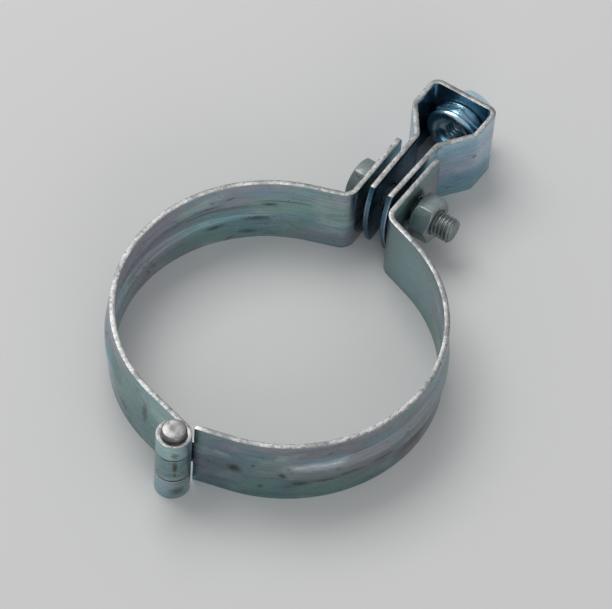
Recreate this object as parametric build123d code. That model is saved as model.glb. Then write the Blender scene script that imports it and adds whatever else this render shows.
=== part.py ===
from build123d import *
import math
import os

os.makedirs("parts", exist_ok=True)

# flat strip that both ring halves and the yoke are bent from
strip_width = 25.0
strip_thick = 1.6
half_thick = strip_thick / 2
mid_height = strip_width / 2

# ring halves, drawn closed on a round pipe
seat_radius = 46.7
pin_outside_ring = 6.0
back_ear_gap = 2.44
front_ear_gap = 1.7
ear_splay = -1.4
ear_bend_radius = 3.2
ear_run = 9.0
ear_length = 24.6
ear_hole_radius = 4.75
ear_hole_from_tip = 12.14
ear_corner = 0.8
open_back = 2.3
open_front = 1.8

# rolled hinge knuckles on the pin
pin_radius = 3.6
pin_play = 0.05
curl_end = 48.0
crimp_from_end = 2.0
low_knuckle_top = 8.3
high_knuckle_base = 18.7
knuckle_gap = 0.4
cut_from_pin = 4.9
knuckle_clear = 0.4
crimp = 1.0
crimp_sweep = 265.0
pin_base = 0.25
pin_head_base = 25.3
pin_head_top = 27.4
pin_head_radius = 3.85
pin_head_round = 0.7

# stiffening bead pressed outward along each half
bead_depth = 1.5
bead_shift = 2.2
bead_turn = 103.0
bead_crest = 4.2
bead_flank = 30.0
bead_start = 28.5
bead_end = 141.0

# clamp bolt and nut, thread size eight
thread_radius = 4.0
thread_minor = 3.35
hex_flat = 13.0
bolt_length = 30.0
head_height = 5.3
shank_into_head = 0.1
head_gap = 1.0
nut_height = 6.5
nut_gap = 1.3
nut_play = 0.05
chamfer_slope = 30.0
chamfer_inset = 0.15
head_turn = 9.0
nut_turn = 9.0

# yoke bent from the same strip
yoke_y = 0.8
leg_half_inner = 2.5
leg_splay = 1.2
leg_tip_behind_bolt = 11.6
leg_tip_radius = 30.0
leg_hole_radius = 4.5
flare_from_bolt = 16.5
flare_angle = 36.0
loop_half_outer = 11.8
wall_from_bolt = 39.2
flare_bend = 3.0
corner_bend = 2.5

# swivel hanger bush that turns in the yoke's end wall
flange_from_wall = 8.1
flange_radius = 9.1
flange_thick = 2.5
flange_round = 0.9
shoulder_radius = 7.5
shoulder_length = 1.1
inner_hex_flat = 15.5
mouth_radius = 4.4
spigot_radius = 5.0
spigot_short = 0.2
wall_play = 0.05
outer_hex_turn = 43.0
inner_hex_turn = 0.0

pin_distance = seat_radius + strip_thick + pin_outside_ring
wall_hole_radius = spigot_radius + wall_play
ring_mid = seat_radius + half_thick
knuckle_inner = pin_radius + pin_play
knuckle_mid = knuckle_inner + half_thick
knuckle_outer = knuckle_inner + strip_thick
bend_mid = ear_bend_radius + half_thick
pin_axis = Axis((-pin_distance, 0, 0), (0, 0, 1))


def turned(x, y, degrees):
    # a point turned about the hinge pin
    angle = math.radians(degrees)
    dx = x + pin_distance
    px = dx * math.cos(angle) - y * math.sin(angle) - pin_distance
    py = dx * math.sin(angle) + y * math.cos(angle)
    return px, py


def side_edges(path, shift):
    # one face of a bent strip; a positive shift lies to the left of travel
    edges = []
    for piece in path:
        if piece[0] == "line":
            (x0, y0), (x1, y1) = piece[1], piece[2]
            run = math.hypot(x1 - x0, y1 - y0)
            nx = -(y1 - y0) / run * shift
            ny = (x1 - x0) / run * shift
            edges.append(Line((x0 + nx, y0 + ny), (x1 + nx, y1 + ny)))
        else:
            centre, radius, start, end = piece[1:]
            side = 1 if end > start else -1
            edges.append(CenterArc(centre, radius - side * shift, start, end - start))
    return edges


def bent_strip(path):
    # strip of constant thickness that follows a path seen from above
    left = side_edges(path, half_thick)
    right = side_edges(path, -half_thick)
    first = Line(left[0] @ 0, right[0] @ 0)
    last = Line(left[-1] @ 1, right[-1] @ 1)
    return extrude(make_face(left + right + [first, last]), strip_width)


def rounded_path(points, radii):
    # straight runs joined by tangent arcs, one radius for each inner point
    path = []
    here = points[0]
    for before, corner, after, radius in zip(points, points[1:], points[2:], radii):
        a = math.atan2(corner[1] - before[1], corner[0] - before[0])
        b = math.atan2(after[1] - corner[1], after[0] - corner[0])
        bend = math.remainder(b - a, 2 * math.pi)
        side = 1 if bend > 0 else -1
        cut = radius * math.tan(abs(bend) / 2)
        start = (corner[0] - cut * math.cos(a), corner[1] - cut * math.sin(a))
        centre_x = start[0] - side * radius * math.sin(a)
        centre_y = start[1] + side * radius * math.cos(a)
        from_angle = math.degrees(a) - side * 90
        path.append(("line", here, start))
        path.append(("arc", (centre_x, centre_y), radius, from_angle, from_angle + math.degrees(bend)))
        here = (corner[0] + cut * math.cos(b), corner[1] + cut * math.sin(b))
    path.append(("line", here, points[-1]))
    return path


def hex_prism(flats, height, turn, chamfer_low, chamfer_high):
    # hexagon with its corners turned off in a shallow cone at one or both ends
    flat = flats / 2
    corner = flat / math.cos(math.pi / 6)
    rim = flat - chamfer_inset
    drop = (corner - rim) * math.tan(math.radians(chamfer_slope))
    low = [(rim, 0), (corner, drop)] if chamfer_low else [(corner, 0)]
    high = [(corner, height - drop), (rim, height)] if chamfer_high else [(corner, height)]
    blank = Polyline([(0, 0)] + low + high + [(0, height)], close=True)
    prism = extrude(RegularPolygon(corner, 6, rotation=turn), height)
    return prism & revolve(Plane.XZ * make_face(blank), Axis.Z)


# a straight tangent run joins the ring to the first bend, and another to the curl
splay = math.radians(ear_splay)
lead = math.acos((ring_mid + knuckle_mid) / pin_distance)
lead_deg = math.degrees(lead)
ring_exit = (-ring_mid * math.cos(lead), ring_mid * math.sin(lead))
knuckle_entry = (knuckle_mid * math.cos(lead) - pin_distance, -knuckle_mid * math.sin(lead))


def bend_centre(gap):
    # centre of the bend at an ear's root, for half the gap between closed ears
    y = gap + (ear_bend_radius + strip_thick) * math.cos(splay)
    return math.sqrt((ring_mid + bend_mid) ** 2 + ear_run ** 2 - y ** 2), y


def on_ear(gap, along):
    # a point of the ear's mid-line, measured from its root
    x, y = bend_centre(gap)
    x += bend_mid * math.sin(splay) + along * math.cos(splay)
    y += along * math.sin(splay) - bend_mid * math.cos(splay)
    return x, y


def half_path(gap):
    # from the tip of the ear round the ring to the end of the curl
    centre = bend_centre(gap)
    toward = math.atan2(centre[1], centre[0]) + math.atan2(ear_run, ring_mid + bend_mid)
    ring_start = (ring_mid * math.cos(toward), ring_mid * math.sin(toward))
    bend_end = (centre[0] - bend_mid * math.cos(toward), centre[1] - bend_mid * math.sin(toward))
    start_deg = math.degrees(toward)
    return [
        ("line", on_ear(gap, ear_length), on_ear(gap, 0)),
        ("arc", centre, bend_mid, ear_splay - 90, start_deg - 180),
        ("line", bend_end, ring_start),
        ("arc", (0, 0), ring_mid, start_deg, 180 - lead_deg),
        ("line", ring_exit, knuckle_entry),
        ("arc", (-pin_distance, 0), knuckle_mid, -lead_deg, curl_end - 360),
    ]


def ear_face_at_bolt(gap):
    # where the bolt's axis meets an ear's outer face
    x, y = on_ear(gap, ear_length - ear_hole_from_tip)
    return x - half_thick * math.sin(splay), y + half_thick * math.cos(splay)


# bolt square across both open ears, and the yoke and its swivel set out from it
back_x, back_y = ear_face_at_bolt(back_ear_gap)
front_x, front_y = ear_face_at_bolt(front_ear_gap)
back_hole = turned(back_x, back_y, open_back)
front_hole = turned(front_x, -front_y, -open_front)
bolt_x = (back_hole[0] + front_hole[0]) / 2
head_seat_y = back_hole[1] + head_gap
nut_face_y = front_hole[1] - nut_gap
leg_tip_x = bolt_x - leg_tip_behind_bolt
wall_outer_x = bolt_x + wall_from_bolt
wall_inner_x = wall_outer_x - strip_thick
flange_x = wall_outer_x - flange_from_wall


def bead_body(crest_width, crest_from_axis):
    # ridge with sloping flanks and a round end; its axis is moved off the ring's so that it runs out gently
    angle = math.radians(bead_turn)
    deep = 2 * bead_depth
    crest = crest_from_axis - bead_shift
    top = crest_width / 2
    foot = top + deep / math.tan(math.radians(bead_flank))
    section = Polyline([
        (crest - deep, mid_height - foot),
        (crest, mid_height - top),
        (crest, mid_height + top),
        (crest - deep, mid_height + foot),
    ], close=True)
    ridge = revolve(Plane.XZ * make_face(section), Axis.Z, bead_end - bead_start)
    boss = Cone(foot, top, deep, align=(Align.CENTER, Align.CENTER, Align.MIN))
    boss = Pos(crest - deep, 0, mid_height) * (Rot(0, 90, 0) * boss)
    body = Rot(0, 0, bead_start) * ridge + Rot(0, 0, bead_end) * boss
    return Pos(bead_shift * math.cos(angle), bead_shift * math.sin(angle), 0) * body


def beaded_half(gap):
    # closed half with its bead, its ear hole and its eased ear corners
    outer_radius = seat_radius + strip_thick
    half = bent_strip(half_path(gap))
    groove_crest = bead_crest - 2 * strip_thick * math.tan(math.radians(bead_flank / 2))
    bump = bead_body(bead_crest, outer_radius + bead_depth)
    core = extrude(Circle(outer_radius - half_thick), strip_width)
    half = half + (bump - core)
    half = half - bead_body(groove_crest, seat_radius + bead_depth)
    drill = Rot(0, 0, ear_splay) * (Rot(90, 0, 0) * Cylinder(ear_hole_radius, 4 * strip_thick))
    hole_x, hole_y = on_ear(gap, ear_length - ear_hole_from_tip)
    half = half - Pos(hole_x, hole_y, mid_height) * drill
    tip_x = on_ear(gap, ear_length)[0]
    at_tip = half.edges().filter_by(lambda e: abs(e.center().X - tip_x) < half_thick)
    return fillet(at_tip.filter_by(lambda e: e.length < 1.5 * strip_thick), ear_corner)


def hinge_cut(low, high, clear):
    # room for the other half's knuckle, with a square end across the strip
    band = high - low
    span = 3 * knuckle_outer
    block = Box(span, span, band, align=(Align.CENTER, Align.MAX, Align.MIN))
    block = Rot(0, 0, -lead_deg) * (Pos(0, cut_from_pin, low) * block)
    sweep_room = Pos(0, 0, low) * extrude(Circle(knuckle_outer + clear), band)
    return Pos(-pin_distance, 0, 0) * (block + sweep_room)


def make_back_band():
    # half with the two outer knuckles, the lower one crimped in at its rim
    half = beaded_half(back_ear_gap) - hinge_cut(low_knuckle_top, high_knuckle_base, knuckle_clear)
    wedge = Polyline([
        (knuckle_outer - crimp, 0),
        (knuckle_outer + crimp, 0),
        (knuckle_outer + crimp, 2 * crimp),
    ], close=True)
    ring = Rot(0, 0, curl_end + crimp_from_end) * revolve(Plane.XZ * make_face(wedge), Axis.Z, crimp_sweep)
    half = half - Pos(-pin_distance, 0, 0) * ring
    return half.rotate(pin_axis, open_back)


def make_front_band():
    # half with the middle knuckle, a little barrelled where it was rolled
    low = low_knuckle_top + knuckle_gap
    high = high_knuckle_base - knuckle_gap
    half = beaded_half(front_ear_gap)
    half = half - hinge_cut(low - strip_width, low, knuckle_clear)
    half = half - hinge_cut(high, high + strip_width, knuckle_clear)
    half = mirror(half, Plane.XZ)
    return half.rotate(pin_axis, -open_front)


def make_hinge_pin():
    # headed pin, its top spread and domed by riveting
    profile = Polyline([
        (0, pin_base),
        (pin_radius, pin_base),
        (pin_radius, pin_head_base),
        (pin_head_radius, pin_head_base),
        (pin_head_radius, pin_head_top - pin_head_round),
        (pin_head_radius - pin_head_round, pin_head_top),
        (0, pin_head_top),
    ], close=True)
    return Pos(-pin_distance, 0, 0) * revolve(Plane.XZ * make_face(profile), Axis.Z)


def make_clamp_bolt():
    # hexagon bolt lying along Y, head on the back ear's side
    point = thread_radius - thread_minor
    profile = Polyline([
        (0, -bolt_length),
        (thread_minor, -bolt_length),
        (thread_radius, point - bolt_length),
        (thread_radius, shank_into_head),
        (0, shank_into_head),
    ], close=True)
    shank = revolve(Plane.XZ * make_face(profile), Axis.Z)
    bolt = hex_prism(hex_flat, head_height, head_turn, False, True) + shank
    return Location((bolt_x, head_seat_y, mid_height), (-90, 0, 0)) * bolt


def make_clamp_nut():
    # plain hexagon nut with a countersink at both ends
    nut = hex_prism(hex_flat, nut_height, nut_turn, True, True)
    bore = thread_radius + nut_play
    nut = nut - Cylinder(bore, nut_height, align=(Align.CENTER, Align.CENTER, Align.MIN))
    return Location((bolt_x, nut_face_y - nut_height, mid_height), (-90, 0, 0)) * nut


def make_yoke():
    # legs between the ears, flaring out to a square loop with a plain end wall
    slope = math.tan(math.radians(leg_splay))
    leg_mid = leg_half_inner + half_thick
    tip = (leg_tip_x, leg_mid - leg_tip_behind_bolt * slope)
    flare = (bolt_x + flare_from_bolt, leg_mid + flare_from_bolt * slope)
    side_y = loop_half_outer - half_thick
    side_x = flare[0] + (side_y - flare[1]) / math.tan(math.radians(flare_angle))
    wall_x = wall_outer_x - half_thick
    half = [tip, flare, (side_x, side_y), (wall_x, side_y)]
    other = [(x, -y) for x, y in reversed(half)]
    radii = [flare_bend, flare_bend, corner_bend, corner_bend, flare_bend, flare_bend]
    yoke = bent_strip(rounded_path(half + other, radii))
    full_width = 2 * loop_half_outer
    tip_round = Pos(leg_tip_x + leg_tip_radius, 0, mid_height) * (
        Rot(90, 0, 0) * Cylinder(leg_tip_radius, full_width))
    tips = Pos(leg_tip_x, 0, 0) * Box(
        leg_tip_behind_bolt, full_width, strip_width, align=(Align.CENTER, Align.CENTER, Align.MIN))
    yoke = yoke - (tips - tip_round)
    leg_drill = Rot(90, 0, 0) * Cylinder(leg_hole_radius, full_width)
    wall_drill = Rot(0, 90, 0) * Cylinder(wall_hole_radius, 4 * strip_thick)
    yoke = yoke - Pos(bolt_x, 0, mid_height) * leg_drill
    yoke = yoke - Pos(wall_outer_x, 0, mid_height) * wall_drill
    return Pos(0, yoke_y, 0) * yoke


def make_swivel_bush():
    # flanged and threaded bush; its hexagon bears on the wall and its spigot runs through
    wall_face = wall_inner_x - flange_x - wall_play
    shoulder_top = flange_thick + shoulder_length
    spigot_top = wall_outer_x + wall_play + nut_height - flange_x - spigot_short
    sink = mouth_radius - thread_minor
    edge = flange_round
    body = Polyline([
        (thread_minor, sink),
        (mouth_radius, 0),
        (flange_radius - edge, 0),
        (flange_radius, edge),
        (flange_radius, flange_thick - edge),
        (flange_radius - edge, flange_thick),
        (shoulder_radius, flange_thick),
        (shoulder_radius, shoulder_top),
        (spigot_radius, shoulder_top),
        (spigot_radius, spigot_top),
        (thread_minor, spigot_top),
    ], close=True)
    bush = revolve(Plane.XZ * make_face(body), Axis.Z)
    stem = hex_prism(inner_hex_flat, wall_face - shoulder_top, inner_hex_turn, False, True)
    hollow = Cylinder(thread_minor, spigot_top, align=(Align.CENTER, Align.CENTER, Align.MIN))
    bush = bush + (Pos(0, 0, shoulder_top) * stem - hollow)
    return Location((flange_x, yoke_y, mid_height), (0, 90, 0)) * bush


def make_swivel_nut():
    # hexagon pressed on the spigot outside the end wall
    nut = hex_prism(hex_flat, nut_height, outer_hex_turn, False, True)
    nut = nut - Cylinder(spigot_radius, nut_height, align=(Align.CENTER, Align.CENTER, Align.MIN))
    return Location((wall_outer_x + wall_play, yoke_y, mid_height), (0, 90, 0)) * nut


pieces = {
    "back_band": make_back_band(),
    "front_band": make_front_band(),
    "hinge_pin": make_hinge_pin(),
    "clamp_bolt": make_clamp_bolt(),
    "clamp_nut": make_clamp_nut(),
    "yoke": make_yoke(),
    "swivel_bush": make_swivel_bush(),
    "swivel_nut": make_swivel_nut(),
}

# the part's origin is the centre of the back half's pipe seat, on the resting plane
seat_x, seat_y = turned(0, 0, open_back)
for name, shape in pieces.items():
    export_step(Pos(-seat_x, -seat_y, 0) * shape, f"parts/{name}.step")
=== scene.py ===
import math

import bpy
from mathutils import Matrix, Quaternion, Vector


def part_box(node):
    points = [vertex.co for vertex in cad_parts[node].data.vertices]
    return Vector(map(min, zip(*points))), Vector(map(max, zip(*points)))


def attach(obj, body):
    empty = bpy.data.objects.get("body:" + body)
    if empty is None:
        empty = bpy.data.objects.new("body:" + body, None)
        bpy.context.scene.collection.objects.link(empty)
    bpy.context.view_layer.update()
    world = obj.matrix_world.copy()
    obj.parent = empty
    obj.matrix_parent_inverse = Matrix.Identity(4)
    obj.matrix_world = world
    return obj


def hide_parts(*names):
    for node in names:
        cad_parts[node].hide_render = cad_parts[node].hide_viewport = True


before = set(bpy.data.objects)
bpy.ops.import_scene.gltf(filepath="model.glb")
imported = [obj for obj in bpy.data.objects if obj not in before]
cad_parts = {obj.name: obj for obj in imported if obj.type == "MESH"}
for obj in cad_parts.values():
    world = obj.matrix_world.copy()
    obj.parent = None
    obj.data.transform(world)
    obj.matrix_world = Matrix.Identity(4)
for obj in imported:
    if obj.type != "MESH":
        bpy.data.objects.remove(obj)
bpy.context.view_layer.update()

mm = 0.001
full_turn = 2 * math.pi

# distances in millimetres under which points are one, or lie on a cutting plane
weld_near = 0.002
cut_near = 0.0001

# the photograph's view, in metres and degrees; the lens in millimetres
view_azimuth = math.radians(-59.743)
view_elevation = math.radians(52.408)
view_roll = math.radians(4.619)
view_distance = 1.2039
view_target = Vector((0.023134, 0.002911, 0.0))
view_lens = 235.294

# strip and ring halves, in millimetres and degrees, drawn closed round the ring's centre
strip_width = 25.0
strip_thick = 1.6
half_thick = strip_thick / 2
mid_height = strip_width / 2
seat_radius = 46.7
pin_distance = 54.3
back_ear_gap = 2.44
front_ear_gap = 1.7
ear_splay = -1.4
ear_bend = 3.2
ear_run = 9.0
ear_length = 24.6
ear_hole_radius = 4.75
ear_hole_from_tip = 12.14
ear_corner = 0.8
open_back = 2.3
open_front = -1.8

# rounding of the strip's edges that are sharper than an angle, and the material slots
# of the cut edge and of the corner beside it
edge_round = 0.32
strip_sharp = 50
rim_slot = 1
corner_slot = 2

# hinge
pin_radius = 3.6
knuckle_mid = 4.45
curl_end = 48.0
pin_chamfer = 0.4
pin_head_radius = 3.85
cut_from_pin = 4.9
knuckle_reach = 9.0
back_cut = (8.3, 18.7)
front_cuts = ((0.0, 8.7), (18.3, strip_width))

# pressed bead, with plain flanks at a slope and eased corners
bead_depth = 1.5
bead_shift = 2.2
bead_turn = 103.0
bead_half_crest = 2.1
bead_slope = math.tan(math.radians(30))
bead_soft = 0.55
bead_start = 28.5
bead_end = 141.0

# bolt and nut, with the turn of the head and nut in degrees
hex_flat = 13.0
hex_turn = 9
hex_rim_inset = 0.15
hex_chamfer = math.tan(math.radians(30))
hex_round = 0.16
hex_sharp = 20
head_height = 5.3
bolt_tip_chamfer = 0.65
nut_bore = 4.05
nut_sink = 0.45
thread_crest = 4.0
thread_root = 3.4
tap_root = 3.36
thread_pitch = 1.25

# yoke
leg_inner = 2.5
leg_slope = math.tan(math.radians(1.2))
leg_tip_radius = 30
leg_hole_radius = 4.5
flare_from_bolt = 16.5
flare_slope = math.tan(math.radians(36))
flare_bend = 3
corner_bend = 2.5

# swivel, with the turn of the outer hexagon in degrees
wall_from_flange = 8.1
stem_flat = 15.5
stem_base = 3.5
spigot_radius = 5.0
spigot_sink = 0.3
bush_bore = 3.35
wall_play = 0.05
wall_hole_radius = spigot_radius + wall_play
collar_height = 0.8
outer_hex_turn = 43

ring_mid = seat_radius + half_thick
bend_mid = ear_bend + half_thick
splay = math.radians(ear_splay)
lead = math.acos((ring_mid + knuckle_mid) / pin_distance)


def deselect_all():
    for thing in bpy.context.selected_objects:
        thing.select_set(False)


def edit(obj):
    deselect_all()
    bpy.context.view_layer.objects.active = obj
    obj.select_set(True)
    bpy.ops.object.mode_set(mode="EDIT")
    bpy.ops.mesh.select_mode(type="VERT")


def done():
    bpy.ops.object.mode_set(mode="OBJECT")


def select_points(obj, test):
    # selects the points, in edit mode, whose place passes the test
    bpy.ops.mesh.select_mode(type="VERT")
    bpy.ops.mesh.select_all(action="DESELECT")
    done()
    for vertex in obj.data.vertices:
        vertex.select = test(vertex.co)
    bpy.ops.object.mode_set(mode="EDIT")


def delete_faces(obj, test):
    # deletes the faces whose middle passes the test
    edit(obj)
    bpy.ops.mesh.select_mode(type="FACE")
    bpy.ops.mesh.select_all(action="DESELECT")
    done()
    for face in obj.data.polygons:
        face.select = test(face.center)
    bpy.ops.object.mode_set(mode="EDIT")
    bpy.ops.mesh.delete(type="FACE")
    done()


def apply_all(obj):
    deselect_all()
    bpy.context.view_layer.objects.active = obj
    obj.select_set(True)
    for modifier in list(obj.modifiers):
        bpy.ops.object.modifier_apply(modifier=modifier.name)


def clean(obj):
    edit(obj)
    bpy.ops.mesh.select_all(action="SELECT")
    bpy.ops.mesh.remove_doubles(threshold=weld_near * mm)
    bpy.ops.mesh.normals_make_consistent(inside=False)
    done()


def put(obj, place, turn):
    # sets the mesh at its place, with the object left at the origin
    obj.location = place
    obj.rotation_euler = turn
    deselect_all()
    obj.select_set(True)
    bpy.context.view_layer.objects.active = obj
    bpy.ops.object.transform_apply(location=True, rotation=True, scale=True)


def cut(obj, tool, operation="DIFFERENCE"):
    change = obj.modifiers.new("cut", "BOOLEAN")
    change.operation = operation
    change.solver = "EXACT"
    change.object = tool
    apply_all(obj)
    bpy.data.objects.remove(tool, do_unlink=True)


def soften(obj, width, angle, material=-1):
    # rounds the edges that are sharper than the angle, in degrees
    bevel = obj.modifiers.new("edge_round", "BEVEL")
    bevel.width = width * mm
    bevel.segments = 2
    bevel.limit_method = "ANGLE"
    bevel.angle_limit = math.radians(angle)
    bevel.use_clamp_overlap = True
    bevel.material = material
    apply_all(obj)


def shade(obj):
    # smooth, but for the edges sharper than 32 degrees
    deselect_all()
    obj.select_set(True)
    bpy.context.view_layer.objects.active = obj
    bpy.ops.object.shade_smooth_by_angle(angle=math.radians(32))


def paint(obj, materials):
    for material in materials:
        obj.data.materials.append(material)


def fit_out(obj, node, body):
    shade(obj)
    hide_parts(node)
    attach(obj, body)


def profile_line(name, points):
    # a line of points in the XZ plane, drawn from point to point
    deselect_all()
    bpy.ops.mesh.primitive_plane_add(size=1.0 * mm, location=(0, 0, 0))
    obj = bpy.context.object
    obj.name = name
    edit(obj)
    bpy.ops.mesh.select_all(action="SELECT")
    bpy.ops.mesh.merge(type="CENTER")
    before = (0.0, 0.0)
    for number, point in enumerate(points):
        step = ((point[0] - before[0]) * mm, 0.0, (point[1] - before[1]) * mm)
        if number == 0:
            bpy.ops.transform.translate(value=step)
        else:
            bpy.ops.mesh.extrude_vertices_move(TRANSFORM_OT_translate={"value": step})
        before = point
    done()
    return obj


def lathe(name, points, steps=64):
    # a body of revolution about Z from its half section
    obj = profile_line(name, points)
    edit(obj)
    bpy.ops.mesh.select_all(action="SELECT")
    bpy.ops.mesh.spin(steps=steps, angle=full_turn, center=(0, 0, 0), axis=(0, 0, 1))
    done()
    clean(obj)
    return obj


def rod(name, radius, half_length, steps=72):
    # a plain cylinder about Z, centred on the origin
    end = half_length
    return lathe(name, [(0, -end), (radius, -end), (radius, end), (0, end)], steps)


def screw_thread(name, crest, root, low, high):
    # a rod with a screw thread along Z, cut square at both ends
    pitch = thread_pitch
    # not a whole number of turns below the cut, so that no edge of the thread lies on it
    below = 2.37 * pitch
    points = [(root, 0), (root, 0.12 * pitch), (crest, 0.48 * pitch), (crest, 0.62 * pitch), (root, pitch)]
    obj = profile_line(name, points)
    edit(obj)
    bpy.ops.mesh.select_all(action="SELECT")
    bpy.ops.transform.translate(value=(0, 0, (low - below) * mm))
    done()
    screw = obj.modifiers.new("screw", "SCREW")
    screw.axis = "Z"
    screw.screw_offset = pitch * mm
    screw.iterations = int((high - low) / pitch) + 5
    screw.steps = 40
    screw.render_steps = 40
    screw.use_merge_vertices = True
    screw.merge_threshold = weld_near * mm
    apply_all(obj)
    clean(obj)
    edit(obj)
    for level, side in ((low, {"clear_inner": True}), (high, {"clear_outer": True})):
        bpy.ops.mesh.select_all(action="SELECT")
        bpy.ops.mesh.bisect(
            plane_co=(0, 0, level * mm), plane_no=(0, 0, 1), threshold=cut_near * mm,
            use_fill=True, **side)
    done()
    clean(obj)
    return obj


def hexagon(name, flats, height, turn, chamfer_low, chamfer_high):
    # hexagonal prism with its corners turned off in a shallow cone
    corner = flats / 2 / math.cos(math.pi / 6)
    rim = flats / 2 - hex_rim_inset
    drop = (corner - rim) * hex_chamfer
    low = [(0, -1), (corner + 1, -1)]
    high = [(corner + 1, height + 1), (0, height + 1)]
    if chamfer_low:
        low = [(0, -hex_chamfer), (rim - 1, -hex_chamfer), (corner + 1, drop + hex_chamfer)]
    if chamfer_high:
        top = height + hex_chamfer
        high = [(corner + 1, height - drop - hex_chamfer), (rim - 1, top), (0, top)]
    deselect_all()
    bpy.ops.mesh.primitive_cylinder_add(
        vertices=6, radius=corner * mm, depth=height * mm, location=(0, 0, height / 2 * mm),
        rotation=(0, 0, math.radians(turn + 90)))
    obj = bpy.context.object
    obj.name = name
    put(obj, obj.location.copy(), obj.rotation_euler.copy())
    blank = lathe("blank", low + high, 96)
    cut(obj, blank, "INTERSECT")
    clean(obj)
    return obj


# strip that follows a path


def upright_line(name, place, levels):
    # a line of points from the bottom to the top of the strip
    deselect_all()
    bpy.ops.mesh.primitive_grid_add(
        x_subdivisions=1, y_subdivisions=levels, size=strip_width * mm,
        location=(place[0] * mm, place[1] * mm, mid_height * mm), rotation=(math.pi / 2, 0, 0))
    obj = bpy.context.object
    obj.name = name
    put(obj, obj.location.copy(), obj.rotation_euler.copy())
    edit(obj)
    select_points(obj, lambda co: co.x > place[0] * mm)
    bpy.ops.mesh.delete(type="VERT")
    bpy.ops.mesh.select_all(action="SELECT")
    bpy.ops.transform.translate(value=(strip_width / 2 * mm, 0, 0))
    done()
    return obj


def follow(obj, path):
    # draws the upright line along straight runs and round arcs
    edit(obj)
    bpy.ops.mesh.select_mode(type="EDGE")
    bpy.ops.mesh.select_all(action="SELECT")
    for piece in path:
        if piece[0] == "line":
            start, end, steps = piece[1:]
            step = ((end[0] - start[0]) / steps * mm, (end[1] - start[1]) / steps * mm, 0)
            for _ in range(steps):
                bpy.ops.mesh.extrude_edges_move(TRANSFORM_OT_translate={"value": step})
        else:
            centre, start, end, steps = piece[1:]
            bpy.ops.mesh.spin(
                steps=steps, angle=math.radians(start - end),
                center=(centre[0] * mm, centre[1] * mm, 0), axis=(0, 0, 1))
    done()
    clean(obj)


def thicken(obj, finish):
    # gives the sheet its thickness; its finishes are the face's, the cut edge's and the corner's painted
    # shade
    paint(obj, finish)
    solid = obj.modifiers.new("thickness", "SOLIDIFY")
    solid.thickness = strip_thick * mm
    solid.offset = 0.0
    solid.use_even_offset = True
    solid.material_offset_rim = rim_slot
    apply_all(obj)


def on_ear(gap, along):
    # a point of the ear's middle line, counted outward from its bend
    y = gap + (ear_bend + strip_thick) * math.cos(splay)
    x = math.sqrt((ring_mid + bend_mid) ** 2 + ear_run ** 2 - y ** 2)
    x += bend_mid * math.sin(splay) + along * math.cos(splay)
    y += along * math.sin(splay) - bend_mid * math.cos(splay)
    return x, y


def half_path(gap):
    # from the tip of the ear round the ring to the end of the curl
    y = gap + (ear_bend + strip_thick) * math.cos(splay)
    centre = (math.sqrt((ring_mid + bend_mid) ** 2 + ear_run ** 2 - y ** 2), y)
    toward = math.atan2(y, centre[0]) + math.atan2(ear_run, ring_mid + bend_mid)
    toward_deg = math.degrees(toward)
    lead_deg = math.degrees(lead)
    ring_start = (ring_mid * math.cos(toward), ring_mid * math.sin(toward))
    bend_end = (centre[0] - bend_mid * math.cos(toward), centre[1] - bend_mid * math.sin(toward))
    leave = (-ring_mid * math.cos(lead), ring_mid * math.sin(lead))
    enter = (knuckle_mid * math.cos(lead) - pin_distance, -knuckle_mid * math.sin(lead))
    split = (enter[0] + cut_from_pin * math.sin(lead), enter[1] + cut_from_pin * math.cos(lead))
    return [
        ("line", on_ear(gap, ear_length), on_ear(gap, 0), 12),
        ("arc", centre, ear_splay - 90, toward_deg - 180, 14),
        ("line", bend_end, ring_start, 6),
        ("arc", (0, 0), toward_deg, 180 - lead_deg, 96),
        ("line", leave, split, 7),
        ("line", split, enter, 4),
        ("arc", (-pin_distance, 0), -lead_deg, curl_end - 360, 54),
    ]


def bead_height(co):
    # how far the bead stands out of the ring at a point, in millimetres
    x, y = co.x / mm, co.y / mm
    off_ring = abs(math.hypot(x, y) - ring_mid)
    if off_ring > half_thick:
        return 0.0
    angle = math.degrees(math.atan2(y, x))
    top = bead_depth - bead_shift * (1 - math.cos(math.radians(angle - bead_turn)))
    beyond = max(0.0, math.radians(angle - bead_end) * ring_mid)
    away = math.hypot(beyond, co.z / mm - mid_height) - bead_half_crest
    down = (away + math.hypot(away, bead_soft)) / 2
    level = top - down * bead_slope
    if level < -1.0 or angle < bead_start:
        return 0.0
    return (level + math.hypot(level, bead_soft * 0.4)) / 2 - bead_soft * 0.05


def press_bead(obj):
    group = obj.vertex_groups.new(name="bead")
    for vertex in obj.data.vertices:
        weight = bead_height(vertex.co) / (2 * bead_depth)
        if weight > 0.01:
            group.add([vertex.index], min(1.0, weight), "REPLACE")
    push = obj.modifiers.new("bead", "DISPLACE")
    push.vertex_group = "bead"
    push.mid_level = 0.0
    push.strength = 2 * bead_depth * mm
    push.direction = "NORMAL"
    apply_all(obj)
    obj.vertex_groups.clear()


def face_outward(obj):
    # turns the sheet's normals away from the ring's centre
    middle = max(obj.data.polygons, key=lambda face: face.center.y)
    if middle.normal.y < 0:
        edit(obj)
        bpy.ops.mesh.select_all(action="SELECT")
        bpy.ops.mesh.flip_normals()
        done()


def in_knuckle(co):
    # the part of the strip that is cut for the hinge
    dx, dy = co.x / mm + pin_distance, co.y / mm
    along = dx * math.sin(lead) + dy * math.cos(lead)
    return math.hypot(dx, dy) < knuckle_reach and along < cut_from_pin


def cut_levels(obj, levels):
    # adds an exact line across the knuckle part at each height
    for level in levels:
        edit(obj)
        select_points(obj, lambda co: co.x < -(ring_mid - 4) * mm)
        bpy.ops.mesh.bisect(plane_co=(0, 0, level * mm), plane_no=(0, 0, 1), threshold=cut_near * mm)
        done()
    clean(obj)


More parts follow.
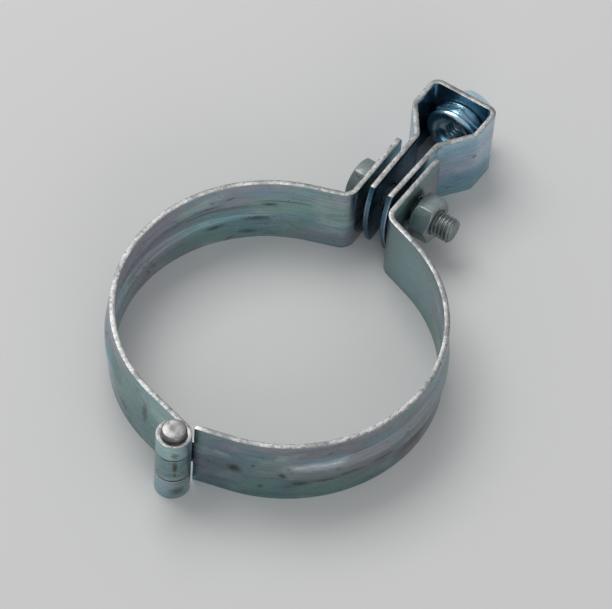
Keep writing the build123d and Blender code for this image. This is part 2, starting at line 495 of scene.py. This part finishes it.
def ear_hole(gap):
    x, y = on_ear(gap, ear_length - ear_hole_from_tip)
    tool = rod("drill", ear_hole_radius, 4)
    put(tool, (x * mm, y * mm, mid_height * mm), (math.pi / 2, 0, splay))
    return tool


def round_corners(obj, tip_x, radius):
    # rounds the two outer corners of a sheet
    edit(obj)
    near = 0.05
    select_points(obj, lambda co: (
        abs(co.x / mm - tip_x) < near and abs(co.z / mm - mid_height) > mid_height - near))
    bpy.ops.mesh.bevel(offset=radius * mm, segments=5, affect="VERTICES")
    done()


def band_half(name, gap, cuts, finish):
    # one half of the ring, closed and not yet mirrored
    obj = upright_line(name, on_ear(gap, ear_length), 46)
    follow(obj, half_path(gap))
    face_outward(obj)
    cut_levels(obj, sorted({level for low_high in cuts for level in low_high if 0 < level < strip_width}))
    for low, high in cuts:
        delete_faces(obj, lambda co: in_knuckle(co) and low < co.z / mm < high)
    press_bead(obj)
    round_corners(obj, on_ear(gap, ear_length)[0], ear_corner)
    face_outward(obj)
    thicken(obj, finish)
    cut(obj, ear_hole(gap))
    soften(obj, edge_round, strip_sharp, corner_slot)
    return obj


def make_back_band(*finish):
    obj = band_half("back_half_band", back_ear_gap, (back_cut,), finish)
    put(obj, (0, 0, 0), (0, 0, math.radians(open_back)))
    fit_out(obj, "back_band", "back_half")


def make_front_band(*finish):
    obj = band_half("front_half_band", front_ear_gap, front_cuts, finish)
    obj.scale = (1, -1, 1)
    put(obj, (0, 0, 0), (0, 0, 0))
    clean(obj)
    turn = math.radians(open_front)
    low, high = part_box("hinge_pin")
    pin = (low + high) / 2
    away = Vector((pin_distance * math.cos(turn), pin_distance * math.sin(turn), 0)) * mm
    put(obj, (pin.x + away.x, pin.y + away.y, 0), (0, 0, turn))
    fit_out(obj, "front_band", "front_half")


# hinge pin


def make_pin(metal):
    low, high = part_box("hinge_pin")
    middle = (low + high) / 2
    base, top = low.z / mm, high.z / mm
    profile = [
        (0, base), (pin_radius - pin_chamfer, base), (pin_radius, base + pin_chamfer), (pin_radius, 25.1),
        (3.82, 25.45), (pin_head_radius, 26.3), (3.72, 26.9), (3.35, 27.25), (2.6, top),
        (1.2, top - 0.03), (0, top - 0.16),
    ]
    obj = lathe("rivet_pin", profile, 72)
    put(obj, (middle.x, middle.y, 0), (0, 0, 0))
    paint(obj, [metal])
    fit_out(obj, "hinge_pin", "back_half")


# bolt and nut


def make_bolt(metal):
    low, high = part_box("clamp_bolt")
    middle = (low + high) / 2
    length = (high.y - low.y) / mm - head_height
    obj = hexagon("hex_head", hex_flat, head_height, hex_turn, False, True)
    soften(obj, hex_round, hex_sharp)
    shank = screw_thread("thread", thread_crest, thread_root, -length, 0.3)
    blank = lathe("blank", [
        (0, -length), (thread_crest - bolt_tip_chamfer, -length),
        (thread_crest, bolt_tip_chamfer - length), (thread_crest, 1.0), (0, 1.0)])
    cut(shank, blank, "INTERSECT")
    cut(obj, shank, "UNION")
    put(obj, (middle.x, high.y - head_height * mm, middle.z), (-math.pi / 2, 0, 0))
    paint(obj, [metal])
    fit_out(obj, "clamp_bolt", "bolt")


def make_nut(metal):
    low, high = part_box("clamp_nut")
    middle = (low + high) / 2
    height = (high.y - low.y) / mm
    obj = hexagon("hex_nut", hex_flat, height, hex_turn, True, True)
    mouth = nut_bore + nut_sink + 1
    tool = lathe("bore", [
        (0, -1), (mouth, -1), (nut_bore, nut_sink), (nut_bore, height - nut_sink),
        (mouth, height + 1), (0, height + 1)], 72)
    cut(obj, tool)
    soften(obj, hex_round, hex_sharp)
    put(obj, (middle.x, low.y, middle.z), (-math.pi / 2, 0, 0))
    paint(obj, [metal])
    fit_out(obj, "clamp_nut", "nut")


# yoke


def rounded_path(points, radii):
    # straight runs joined by tangent arcs
    path = []
    here = points[0]
    for before, corner, after, radius in zip(points, points[1:], points[2:], radii):
        a = math.atan2(corner[1] - before[1], corner[0] - before[0])
        b = math.atan2(after[1] - corner[1], after[0] - corner[0])
        bend = math.remainder(b - a, full_turn)
        side = 1 if bend > 0 else -1
        trim = radius * math.tan(abs(bend) / 2)
        start = (corner[0] - trim * math.cos(a), corner[1] - trim * math.sin(a))
        centre = (start[0] - side * radius * math.sin(a), start[1] + side * radius * math.cos(a))
        begin = math.degrees(a) - side * 90
        path.append(("line", here, start, 6))
        path.append(("arc", centre, begin, begin + math.degrees(bend), 10))
        here = (corner[0] + trim * math.cos(b), corner[1] + trim * math.sin(b))
    path.append(("line", here, points[-1], 6))
    return path


def yoke_points(low, high, bolt_x):
    # corners of the strip's middle line, from one leg's tip round the loop to the other's
    middle_y = (low.y + high.y) / 2 / mm
    leg_mid = leg_inner + half_thick
    behind = bolt_x - low.x / mm
    tip = (low.x / mm, leg_mid - behind * leg_slope)
    flare = (bolt_x + flare_from_bolt, leg_mid + flare_from_bolt * leg_slope)
    side_y = (high.y - low.y) / 2 / mm - half_thick
    side_x = flare[0] + (side_y - flare[1]) / flare_slope
    wall_x = high.x / mm - half_thick
    half = [tip, flare, (side_x, side_y), (wall_x, side_y)]
    points = half + [(x, -y) for x, y in reversed(half)]
    return [(x, y + middle_y) for x, y in points]


def outside_tips(tip_x, middle_y, span):
    # what is cut off the square leg ends to leave them round
    deselect_all()
    bpy.ops.mesh.primitive_cube_add(size=1, location=(tip_x * mm, middle_y * mm, mid_height * mm))
    ends = bpy.context.object
    ends.scale = (16 * mm, span * mm, 40 * mm)
    put(ends, ends.location.copy(), (0, 0, 0))
    keep = rod("keep", leg_tip_radius, span, 240)
    put(keep, ((tip_x + leg_tip_radius) * mm, middle_y * mm, mid_height * mm), (math.pi / 2, 0, 0))
    cut(ends, keep)
    return ends


def make_yoke(*finish):
    low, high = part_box("yoke")
    bolt_low, bolt_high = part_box("clamp_bolt")
    bolt_x = (bolt_low.x + bolt_high.x) / 2 / mm
    middle_y = (low.y + high.y) / 2 / mm
    span = (high.y - low.y) / mm - strip_thick + 8
    points = yoke_points(low, high, bolt_x)
    obj = upright_line("yoke_strip", points[0], 12)
    bends = [flare_bend, flare_bend, corner_bend]
    follow(obj, rounded_path(points, bends + bends[::-1]))
    thicken(obj, finish)
    cut(obj, outside_tips(low.x / mm, middle_y, span))
    drill = rod("drill", leg_hole_radius, span)
    put(drill, (bolt_x * mm, middle_y * mm, mid_height * mm), (math.pi / 2, 0, 0))
    cut(obj, drill)
    drill = rod("drill", wall_hole_radius, 4)
    put(drill, (high.x, middle_y * mm, mid_height * mm), (0, math.pi / 2, 0))
    cut(obj, drill)
    soften(obj, edge_round, strip_sharp, corner_slot)
    fit_out(obj, "yoke", "yoke")


# swivel


def make_swivel_bush(metal):
    low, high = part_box("swivel_bush")
    middle = (low + high) / 2
    length = (high.x - low.x) / mm
    wall = wall_from_flange - strip_thick - wall_play
    bowl = [(bush_bore, 2.6), (4.6, 2.1), (5.1, 1.5), (5.4, 0.9), (5.8, 0.42), (6.35, 0.12)]
    lip = [
        (7.0, 0.0), (7.8, 0.1), (8.55, 0.42), (8.92, 0.8), (9.1, 1.3), (9.02, 1.8), (8.75, 2.2),
        (8.3, 2.45), (7.8, 2.5)]
    neck = [(7.5, 2.6), (7.4, 3.0), (7.5, stem_base + 0.1), (spigot_radius, stem_base + 0.1)]
    collar = [
        (spigot_radius, wall - 0.95), (8.4, wall - 0.95), (8.72, wall - 0.8), (8.8, wall - 0.5),
        (8.72, wall - 0.2), (8.4, wall - 0.05), (spigot_radius, wall - 0.05)]
    spigot = [
        (spigot_radius, length - spigot_sink), (spigot_radius - spigot_sink, length),
        (bush_bore, length), (bush_bore, 2.6)]
    obj = lathe("swivel_flange", bowl + lip + neck + collar + spigot, 96)
    stem = hexagon("stem", stem_flat, wall - collar_height - stem_base, 0, False, True)
    put(stem, (0, 0, stem_base * mm), (0, 0, 0))
    cut(stem, rod("bore", 4.2, 20))
    soften(stem, 0.12, hex_sharp)
    cut(obj, stem, "UNION")
    tap = screw_thread("tap", thread_crest, tap_root, 0.2, length + 1.5)
    cut(obj, tap)
    put(obj, (low.x, middle.y, middle.z), (0, math.pi / 2, 0))
    paint(obj, [metal])
    fit_out(obj, "swivel_bush", "swivel")


def make_swivel_nut(metal):
    low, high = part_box("swivel_nut")
    middle = (low + high) / 2
    height = (high.x - low.x) / mm
    obj = hexagon("swivel_hex", hex_flat, height, outer_hex_turn, False, True)
    mouth = spigot_radius + spigot_sink + 1
    tool = lathe("bore", [
        (0, -1), (spigot_radius, -1), (spigot_radius, height - spigot_sink),
        (mouth, height + 1), (0, height + 1)], 72)
    cut(obj, tool)
    soften(obj, hex_round, hex_sharp)
    put(obj, (low.x, middle.y, middle.z), (0, math.pi / 2, 0))
    paint(obj, [metal])
    fit_out(obj, "swivel_nut", "swivel")


# camera, light and floor


def make_camera():
    level = math.cos(view_elevation)
    back = Vector((
        math.sin(view_azimuth) * level,
        -math.cos(view_azimuth) * level,
        math.sin(view_elevation),
    ))
    turn = Quaternion(back, view_roll) @ back.to_track_quat("Z", "Y")
    bpy.ops.object.camera_add(location=view_target + back * view_distance)
    camera = bpy.context.object
    camera.name = "photo_camera"
    camera.rotation_mode = "QUATERNION"
    camera.rotation_quaternion = turn
    camera.data.lens = view_lens
    camera.data.sensor_width = 36.0
    camera.data.clip_end = 20.0
    bpy.context.scene.camera = camera


def lamp(name, place, aim, size, power):
    bpy.ops.object.light_add(type="AREA", location=place)
    light = bpy.context.object
    light.name = name
    light.data.shape = "RECTANGLE"
    light.data.size, light.data.size_y = size
    light.data.energy = power
    light.rotation_mode = "QUATERNION"
    light.rotation_quaternion = (Vector(aim) - Vector(place)).to_track_quat("-Z", "Y")


def light_studio():
    world = bpy.data.worlds.new("soft_room")
    world.use_nodes = True
    backing = world.node_tree.nodes["Background"]
    backing.inputs["Color"].default_value = (0.62, 0.64, 0.66, 1.0)
    backing.inputs["Strength"].default_value = 0.78
    bpy.context.scene.world = world
    lamp("overhead_softbox", (0.25, 0.55, 0.95), (0.02, 0.0, 0.0), (0.9, 0.7), 8.0)
    lamp("side_fill", (-0.6, -0.75, 0.40), (0.03, 0.0, 0.0), (0.8, 0.5), 3.0)


def floor_material():
    paper = bpy.data.materials.new("pale_paper")
    paper.use_nodes = True
    shader = paper.node_tree.nodes["Principled BSDF"]
    shader.inputs["Base Color"].default_value = (0.555, 0.548, 0.54, 1.0)
    shader.inputs["Roughness"].default_value = 0.9
    return paper


def make_floor():
    deselect_all()
    bpy.ops.mesh.primitive_plane_add(size=6.0)
    floor = bpy.context.object
    floor.name = "floor"
    floor.data.materials.append(floor_material())


# materials


class Recipe:
    # builds one node material, with every pattern on Object coordinates in metres

    def __init__(self, name):
        self.material = bpy.data.materials.new(name)
        self.material.use_nodes = True
        self.tree = self.material.node_tree
        self.shader = self.tree.nodes["Principled BSDF"]
        self.place = self.add("ShaderNodeTexCoord").outputs["Object"]

    def add(self, kind, inputs=(), **settings):
        node = self.tree.nodes.new(kind)
        for key, value in settings.items():
            setattr(node, key, value)
        for key, value in dict(inputs).items():
            self.feed(node.inputs[key], value)
        return node

    def feed(self, socket, value):
        if isinstance(value, bpy.types.NodeSocket):
            self.tree.links.new(value, socket)
        else:
            socket.default_value = value

    def noise(self, per_metre, seed, detail=3.0, roughness=0.55, warp=0.0):
        # cloudy pattern from 0 to 1; the three numbers are its density along x, y and z
        spread = self.add("ShaderNodeMapping", {
            "Vector": self.place, "Location": (seed * 1.7, seed * 2.3, seed * 3.1), "Scale": per_metre})
        return self.add("ShaderNodeTexNoise", {
            "Vector": spread.outputs[0], "Scale": 1.0, "Detail": detail, "Roughness": roughness,
            "Distortion": warp}).outputs[0]

    def span(self, value, low, high, to_low=0.0, to_high=1.0, ease="SMOOTHSTEP"):
        return self.add("ShaderNodeMapRange", {
            "Value": value, "From Min": low, "From Max": high, "To Min": to_low, "To Max": to_high},
            interpolation_type=ease).outputs[0]

    def math(self, operation, one, two=0.0):
        return self.add("ShaderNodeMath", {0: one, 1: two}, operation=operation).outputs[0]

    def mix(self, factor, one, two):
        node = self.add("ShaderNodeMix", data_type="RGBA")
        self.feed(node.inputs[0], factor)
        self.feed(node.inputs[6], one)
        self.feed(node.inputs[7], two)
        return node.outputs[2]

    def spot(self, centre, reach, soft=1.0):
        # one inside an ellipsoid round a point, fading to its edge; millimetres
        offset = self.add("ShaderNodeVectorMath", {
            0: self.place, 1: tuple(-value * mm for value in centre)}, operation="ADD").outputs[0]
        scaled = self.add("ShaderNodeVectorMath", {
            0: offset, 1: tuple(1 / (value * mm) for value in reach)}, operation="MULTIPLY").outputs[0]
        away = self.add("ShaderNodeVectorMath", {0: scaled}, operation="LENGTH").outputs["Value"]
        return self.span(away, 1.0, 1.0 - soft)

    def finish(self, colour, roughness, height, distance):
        self.feed(self.shader.inputs["Metallic"], 1.0)
        self.feed(self.shader.inputs["Base Color"], colour)
        self.feed(self.shader.inputs["Roughness"], roughness)
        bump = self.add("ShaderNodeBump", {"Height": height, "Distance": distance * mm, "Strength": 1.0})
        self.feed(self.shader.inputs["Normal"], bump.outputs[0])
        return self.material


def tone(red, green, blue):
    return (red, green, blue, 1.0)


def on_ring(degrees, height, middle_y=0.0, radius=48.0):
    # a point of the open ring, from its angle and height
    angle = math.radians(degrees)
    return radius * math.cos(angle), radius * math.sin(angle) + middle_y, height


def yoke_inside_shade(r):
    # mask of painted shade: one on the faces that look into the yoke; its mid-line widens along the flare
    flare_start, flare_end = 80.7 * mm, 91.0 * mm
    half_narrow, half_wide = 3.5 * mm, 11.0 * mm
    centre_y = 1.38 * mm
    wall_out, wall_in = 102.5 * mm, 102.3 * mm
    fade = 0.3 * mm
    axes = r.add("ShaderNodeSeparateXYZ", {0: r.place}).outputs
    middle = r.span(axes[0], flare_start, flare_end, half_narrow, half_wide, "LINEAR")
    aside = r.math("ABSOLUTE", r.math("ADD", axes[1], centre_y))
    between = r.span(r.math("SUBTRACT", aside, middle), fade, -fade)
    return r.math("MULTIPLY", between, r.span(axes[0], wall_out, wall_in))


def plating(name, base, marks=(), inside=None):
    # passivated zinc: blue, teal and violet clouds, rolling lines, stains and small pits; the listed marks
    # add stains, tints, painted highlights and painted shade, and the inside mask adds painted shade
    r = Recipe(name)
    pale, blue, teal, violet = base
    clouds = r.noise((38, 38, 75), 1.3, 4.0, 0.6, 0.6)
    drift = r.noise((22, 22, 60), 4.1, 3.0, 0.5, 0.4)
    colour = r.mix(r.span(clouds, 0.36, 0.62), blue, teal)
    colour = r.mix(r.span(drift, 0.42, 0.64), colour, violet)
    bloom = r.span(r.noise((70, 70, 160), 7.7, 4.0), 0.50, 0.72)
    colour = r.mix(r.math("MULTIPLY", bloom, 0.7), colour, pale)
    lines = r.noise((60, 60, 1900), 2.2, 3.0, 0.6)
    colour = r.mix(r.math("MULTIPLY", r.span(lines, 0.46, 0.70), 0.34), colour, tone(0.12, 0.13, 0.15))
    stains = r.span(r.noise((95, 95, 230), 9.4, 6.0, 0.65, 1.2), 0.585, 0.70)
    colour = r.mix(r.math("MULTIPLY", stains, 0.55), colour, tone(0.12, 0.095, 0.075))
    pits = r.span(r.noise((900, 900, 1100), 5.5, 2.0), 0.66, 0.74)
    colour = r.mix(r.math("MULTIPLY", pits, 0.6), colour, tone(0.05, 0.05, 0.05))
    ragged = r.noise((520, 520, 1700), 6.6, 7.0, 0.8, 0.4)
    # marks: stains and tints, and some painted highlights and painted shade
    for centre, reach, amount, stain_and_painted_light in marks:
        patch = r.span(r.math("ADD", r.spot(centre, reach), r.math("MULTIPLY", ragged, 1.5)), 0.95, 1.75)
        colour = r.mix(r.math("MULTIPLY", patch, amount), colour, stain_and_painted_light)
    # painted shade: the faces inside the yoke darkened towards deep blue
    if inside:
        painted_shade = r.math("MULTIPLY", inside(r), r.span(clouds, 0.3, 0.7, 0.95, 0.7))
        colour = r.mix(painted_shade, colour, tone(0.05, 0.15, 0.235))
    roughness = r.math("ADD", r.span(clouds, 0.3, 0.7, 0.22, 0.36), r.math("MULTIPLY", stains, 0.2))
    waves = r.noise((90, 90, 150), 3.3, 2.0)
    grain = r.math("MULTIPLY", r.noise((700, 700, 1500), 8.8, 3.0), 0.10)
    height = r.math("ADD", r.math("ADD", waves, grain), r.math("MULTIPLY", lines, 0.03))
    return r.finish(colour, roughness, height, 0.35)


def sheared(name, bright, dark):
    # the strip's cut edge: bright burnished metal with dull bands, nicks and drag lines
    r = Recipe(name)
    band = r.noise((130, 130, 60), 2.7, 4.0, 0.6, 0.5)
    colour = r.mix(r.span(band, 0.40, 0.66), bright, dark)
    grit = r.noise((900, 900, 800), 6.1, 6.0, 0.75, 0.8)
    colour = r.mix(r.math("MULTIPLY", r.span(grit, 0.48, 0.62), 0.75), colour, tone(0.09, 0.09, 0.09))
    height = r.math("ADD", grit, r.noise((300, 300, 300), 3.9, 2.0))
    return r.finish(colour, r.span(band, 0.3, 0.7, 0.30, 0.46), height, 0.07)


def painted_edge_shade(name):
    # the rolled-over corner beside a cut edge, painted dark as painted shade: the dark outline along the
    # edge
    r = Recipe(name)
    patch = r.noise((420, 420, 420), 5.2, 4.0, 0.6)
    colour = r.mix(r.span(patch, 0.42, 0.62), tone(0.025, 0.03, 0.035), tone(0.15, 0.16, 0.165))
    return r.finish(colour, 0.5, patch, 0.08)


def turned_zinc(name, bright, dull, stain_amount=0.5, gloss=0.0):
    # small parts: duller zinc with a fine grain and stains
    r = Recipe(name)
    clouds = r.noise((160, 160, 160), 1.9, 5.0, 0.6, 0.6)
    colour = r.mix(r.span(clouds, 0.38, 0.64), bright, dull)
    stains = r.span(r.noise((260, 260, 260), 8.2, 6.0, 0.65, 1.0), 0.56, 0.70)
    colour = r.mix(r.math("MULTIPLY", stains, stain_amount), colour, tone(0.11, 0.095, 0.08))
    grain = r.noise((1800, 1800, 1800), 4.4, 3.0, 0.6)
    colour = r.mix(r.math("MULTIPLY", r.span(grain, 0.58, 0.72), 0.5), colour, tone(0.08, 0.08, 0.08))
    height = r.math("ADD", r.math("MULTIPLY", grain, 0.4), r.noise((420, 420, 420), 2.8, 2.0))
    return r.finish(colour, r.span(clouds, 0.3, 0.7, 0.32 - gloss, 0.48 - gloss), height, 0.10)


# colours of the marks
brown = tone(0.10, 0.075, 0.055)
# near-black for soot marks and for painted shade
soot_and_shade = tone(0.05, 0.055, 0.06)
grey_patch = tone(0.33, 0.33, 0.34)
ear_grey = tone(0.44, 0.43, 0.41)
lilac = tone(0.46, 0.36, 0.50)
sea = tone(0.22, 0.42, 0.37)
# sky blue for tints and for painted highlights
sky_tint_and_highlight = tone(0.24, 0.46, 0.58)
worn = tone(0.62, 0.58, 0.54)

# how far the opened front half's centre lies from the back half's
front_middle = -3.9

# stains and tints seen in the photograph, with some painted highlights and painted shade: place, reach,
# amount and colour
back_marks = (
    (on_ring(152, 12, 0, 49), (34, 34, 30), 0.75, tone(0.17, 0.27, 0.28)),
    (on_ring(80, 22), (26, 26, 4), 0.5, lilac),
    (on_ring(38, 21), (18, 18, 4), 0.45, sky_tint_and_highlight),
    (on_ring(66, 4), (30, 30, 5), 0.5, sea),
    (on_ring(20, 8), (10, 10, 7), 0.4, sea),
    # painted highlight on the bead's outer face
    (on_ring(137, 12, 0, 49), (8, 8, 8), 0.6, sky_tint_and_highlight),
    (on_ring(35.5, 15.5), (6, 6, 1.6), 0.85, brown),
    (on_ring(40, 9), (9, 9, 1.8), 0.7, brown),
    (on_ring(56, 7.5), (7, 7, 2.2), 0.7, brown),
    (on_ring(43, 3), (7, 7, 1.8), 0.6, brown),
    # painted shade: dark lines along the upper flank of the bead's groove
    (on_ring(66, 17.2), (26, 26, 0.9), 0.5, soot_and_shade),
    (on_ring(30, 17.0), (16, 16, 0.8), 0.5, soot_and_shade),
    (on_ring(164, 14), (2.5, 2.5, 9), 0.7, brown),
    (on_ring(150, 5), (6, 6, 3), 0.5, brown),
    ((-58.3, -5.5, 21), (2.4, 2.4, 2.4), 0.6, brown),
    # painted highlight on the upper knuckle's left side
    ((-59.4, -1.5, 22), (1.6, 3, 3), 0.5, sky_tint_and_highlight),
    ((-57.4, -6.0, 3.5), (4.5, 4.5, 3.5), 0.6, brown),
    ((66, 7, 14), (10, 3, 10), 0.4, ear_grey),
)
front_marks = (
    (on_ring(338, 12, front_middle), (36, 36, 34), 0.75, tone(0.30, 0.44, 0.46)),
    (on_ring(195, 21, front_middle), (9, 9, 3.5), 0.5, lilac),
    (on_ring(271, 23, front_middle), (7, 7, 3), 0.6, lilac),
    (on_ring(228, 18, front_middle), (16, 16, 2.6), 0.5, sky_tint_and_highlight),
    (on_ring(250, 19, front_middle, 49), (14, 14, 2.0), 0.6, sky_tint_and_highlight),
    (on_ring(280, 21, front_middle, 49), (12, 12, 2.4), 0.6, sky_tint_and_highlight),
    (on_ring(205, 5, front_middle), (14, 14, 4), 0.5, sea),
    (on_ring(197, 12, front_middle), (4.2, 4.2, 3.4), 0.9, brown),
    (on_ring(187.5, 11.5, front_middle), (1.6, 1.6, 1.5), 0.8, soot_and_shade),
    (on_ring(203.5, 15, front_middle), (1.4, 1.4, 1.1), 0.8, soot_and_shade),
    (on_ring(206.5, 5.5, front_middle), (1.8, 1.8, 1.5), 0.7, brown),
    (on_ring(214, 12, front_middle), (2.8, 2.8, 2.8), 0.9, soot_and_shade),
    (on_ring(220, 7.5, front_middle), (6, 6, 2.0), 0.8, brown),
    (on_ring(229, 8, front_middle), (8, 8, 1.8), 0.7, brown),
    (on_ring(238, 10.5, front_middle), (9, 9, 2.0), 0.7, brown),
    (on_ring(250, 11, front_middle), (9, 9, 2.2), 0.7, brown),
    (on_ring(267, 5, front_middle), (14, 14, 4), 0.65, brown),
    (on_ring(319, 11, front_middle, 46.7), (8, 8, 9), 0.75, grey_patch),
    (on_ring(322, 23.5, front_middle, 46.7), (22, 22, 0.9), 0.5, brown),
    ((70, -8.6, 14), (12, 2, 12), 0.7, ear_grey),
    ((75.5, -8.8, 16), (3.5, 2, 5), 0.7, lilac),
    ((-58.3, -5.6, 15.5), (1.6, 1.6, 5), 0.9, brown),
    # painted shade of a dent in the middle knuckle
    ((-58.4, -5.6, 11.5), (1.1, 1.1, 1.6), 0.9, soot_and_shade),
)
yoke_marks = (
    ((79.5, -7, 24), (3.5, 4, 1.8), 0.9, soot_and_shade),
    ((83, -10.5, 23.5), (3.5, 3, 1.6), 0.8, brown),
    ((86.5, -13.2, 22.5), (1.8, 2, 1.1), 0.8, soot_and_shade),
    ((90.5, -13.2, 15.5), (2.2, 2, 1.2), 0.7, brown),
    ((87, -13.2, 13), (8, 3, 6), 0.3, lilac),
    ((99, -13.2, 18), (5, 3, 6), 0.3, lilac),
    ((92, -13.2, 6), (8, 3, 5), 0.5, sky_tint_and_highlight),
    ((54, 1, 25), (2.2, 9, 1.6), 0.8, worn),
)

# pale, blue, teal and violet of each strip's plating; the front half's are set darker than the back half's
# as painted shade
back_base = (
    tone(0.54, 0.65, 0.66), tone(0.29, 0.47, 0.54), tone(0.33, 0.52, 0.49), tone(0.42, 0.44, 0.50))
# painted shade: the same plating as the back half, darker
front_base_shaded = (
    tone(0.44, 0.51, 0.53), tone(0.20, 0.31, 0.37), tone(0.24, 0.37, 0.35), tone(0.30, 0.32, 0.35))
yoke_base = (
    tone(0.52, 0.66, 0.75), tone(0.25, 0.45, 0.60), tone(0.33, 0.54, 0.61), tone(0.42, 0.50, 0.62))


bpy.context.scene.view_settings.view_transform = "Standard"
make_camera()
light_studio()
make_floor()
edges = (sheared("cut_edge", tone(0.31, 0.31, 0.305), tone(0.19, 0.19, 0.19)), painted_edge_shade("edge_corner_shade"))
bolt_zinc = turned_zinc("bolt_zinc", tone(0.30, 0.33, 0.33), tone(0.20, 0.225, 0.225))
make_back_band(plating("back_half_zinc", back_base, back_marks), *edges)
make_front_band(plating("front_half_zinc", front_base_shaded, front_marks), *edges)
make_pin(turned_zinc("pin_zinc", tone(0.27, 0.265, 0.26), tone(0.16, 0.16, 0.16)))
make_bolt(bolt_zinc)
make_nut(turned_zinc("nut_zinc", tone(0.34, 0.38, 0.38), tone(0.24, 0.28, 0.28)))
make_yoke(plating("yoke_zinc", yoke_base, yoke_marks, yoke_inside_shade), *edges)
swivel_zinc = turned_zinc("swivel_zinc", tone(0.66, 0.84, 0.90), tone(0.46, 0.66, 0.76), 0.25, 0.12)
make_swivel_bush(swivel_zinc)
make_swivel_nut(swivel_zinc)
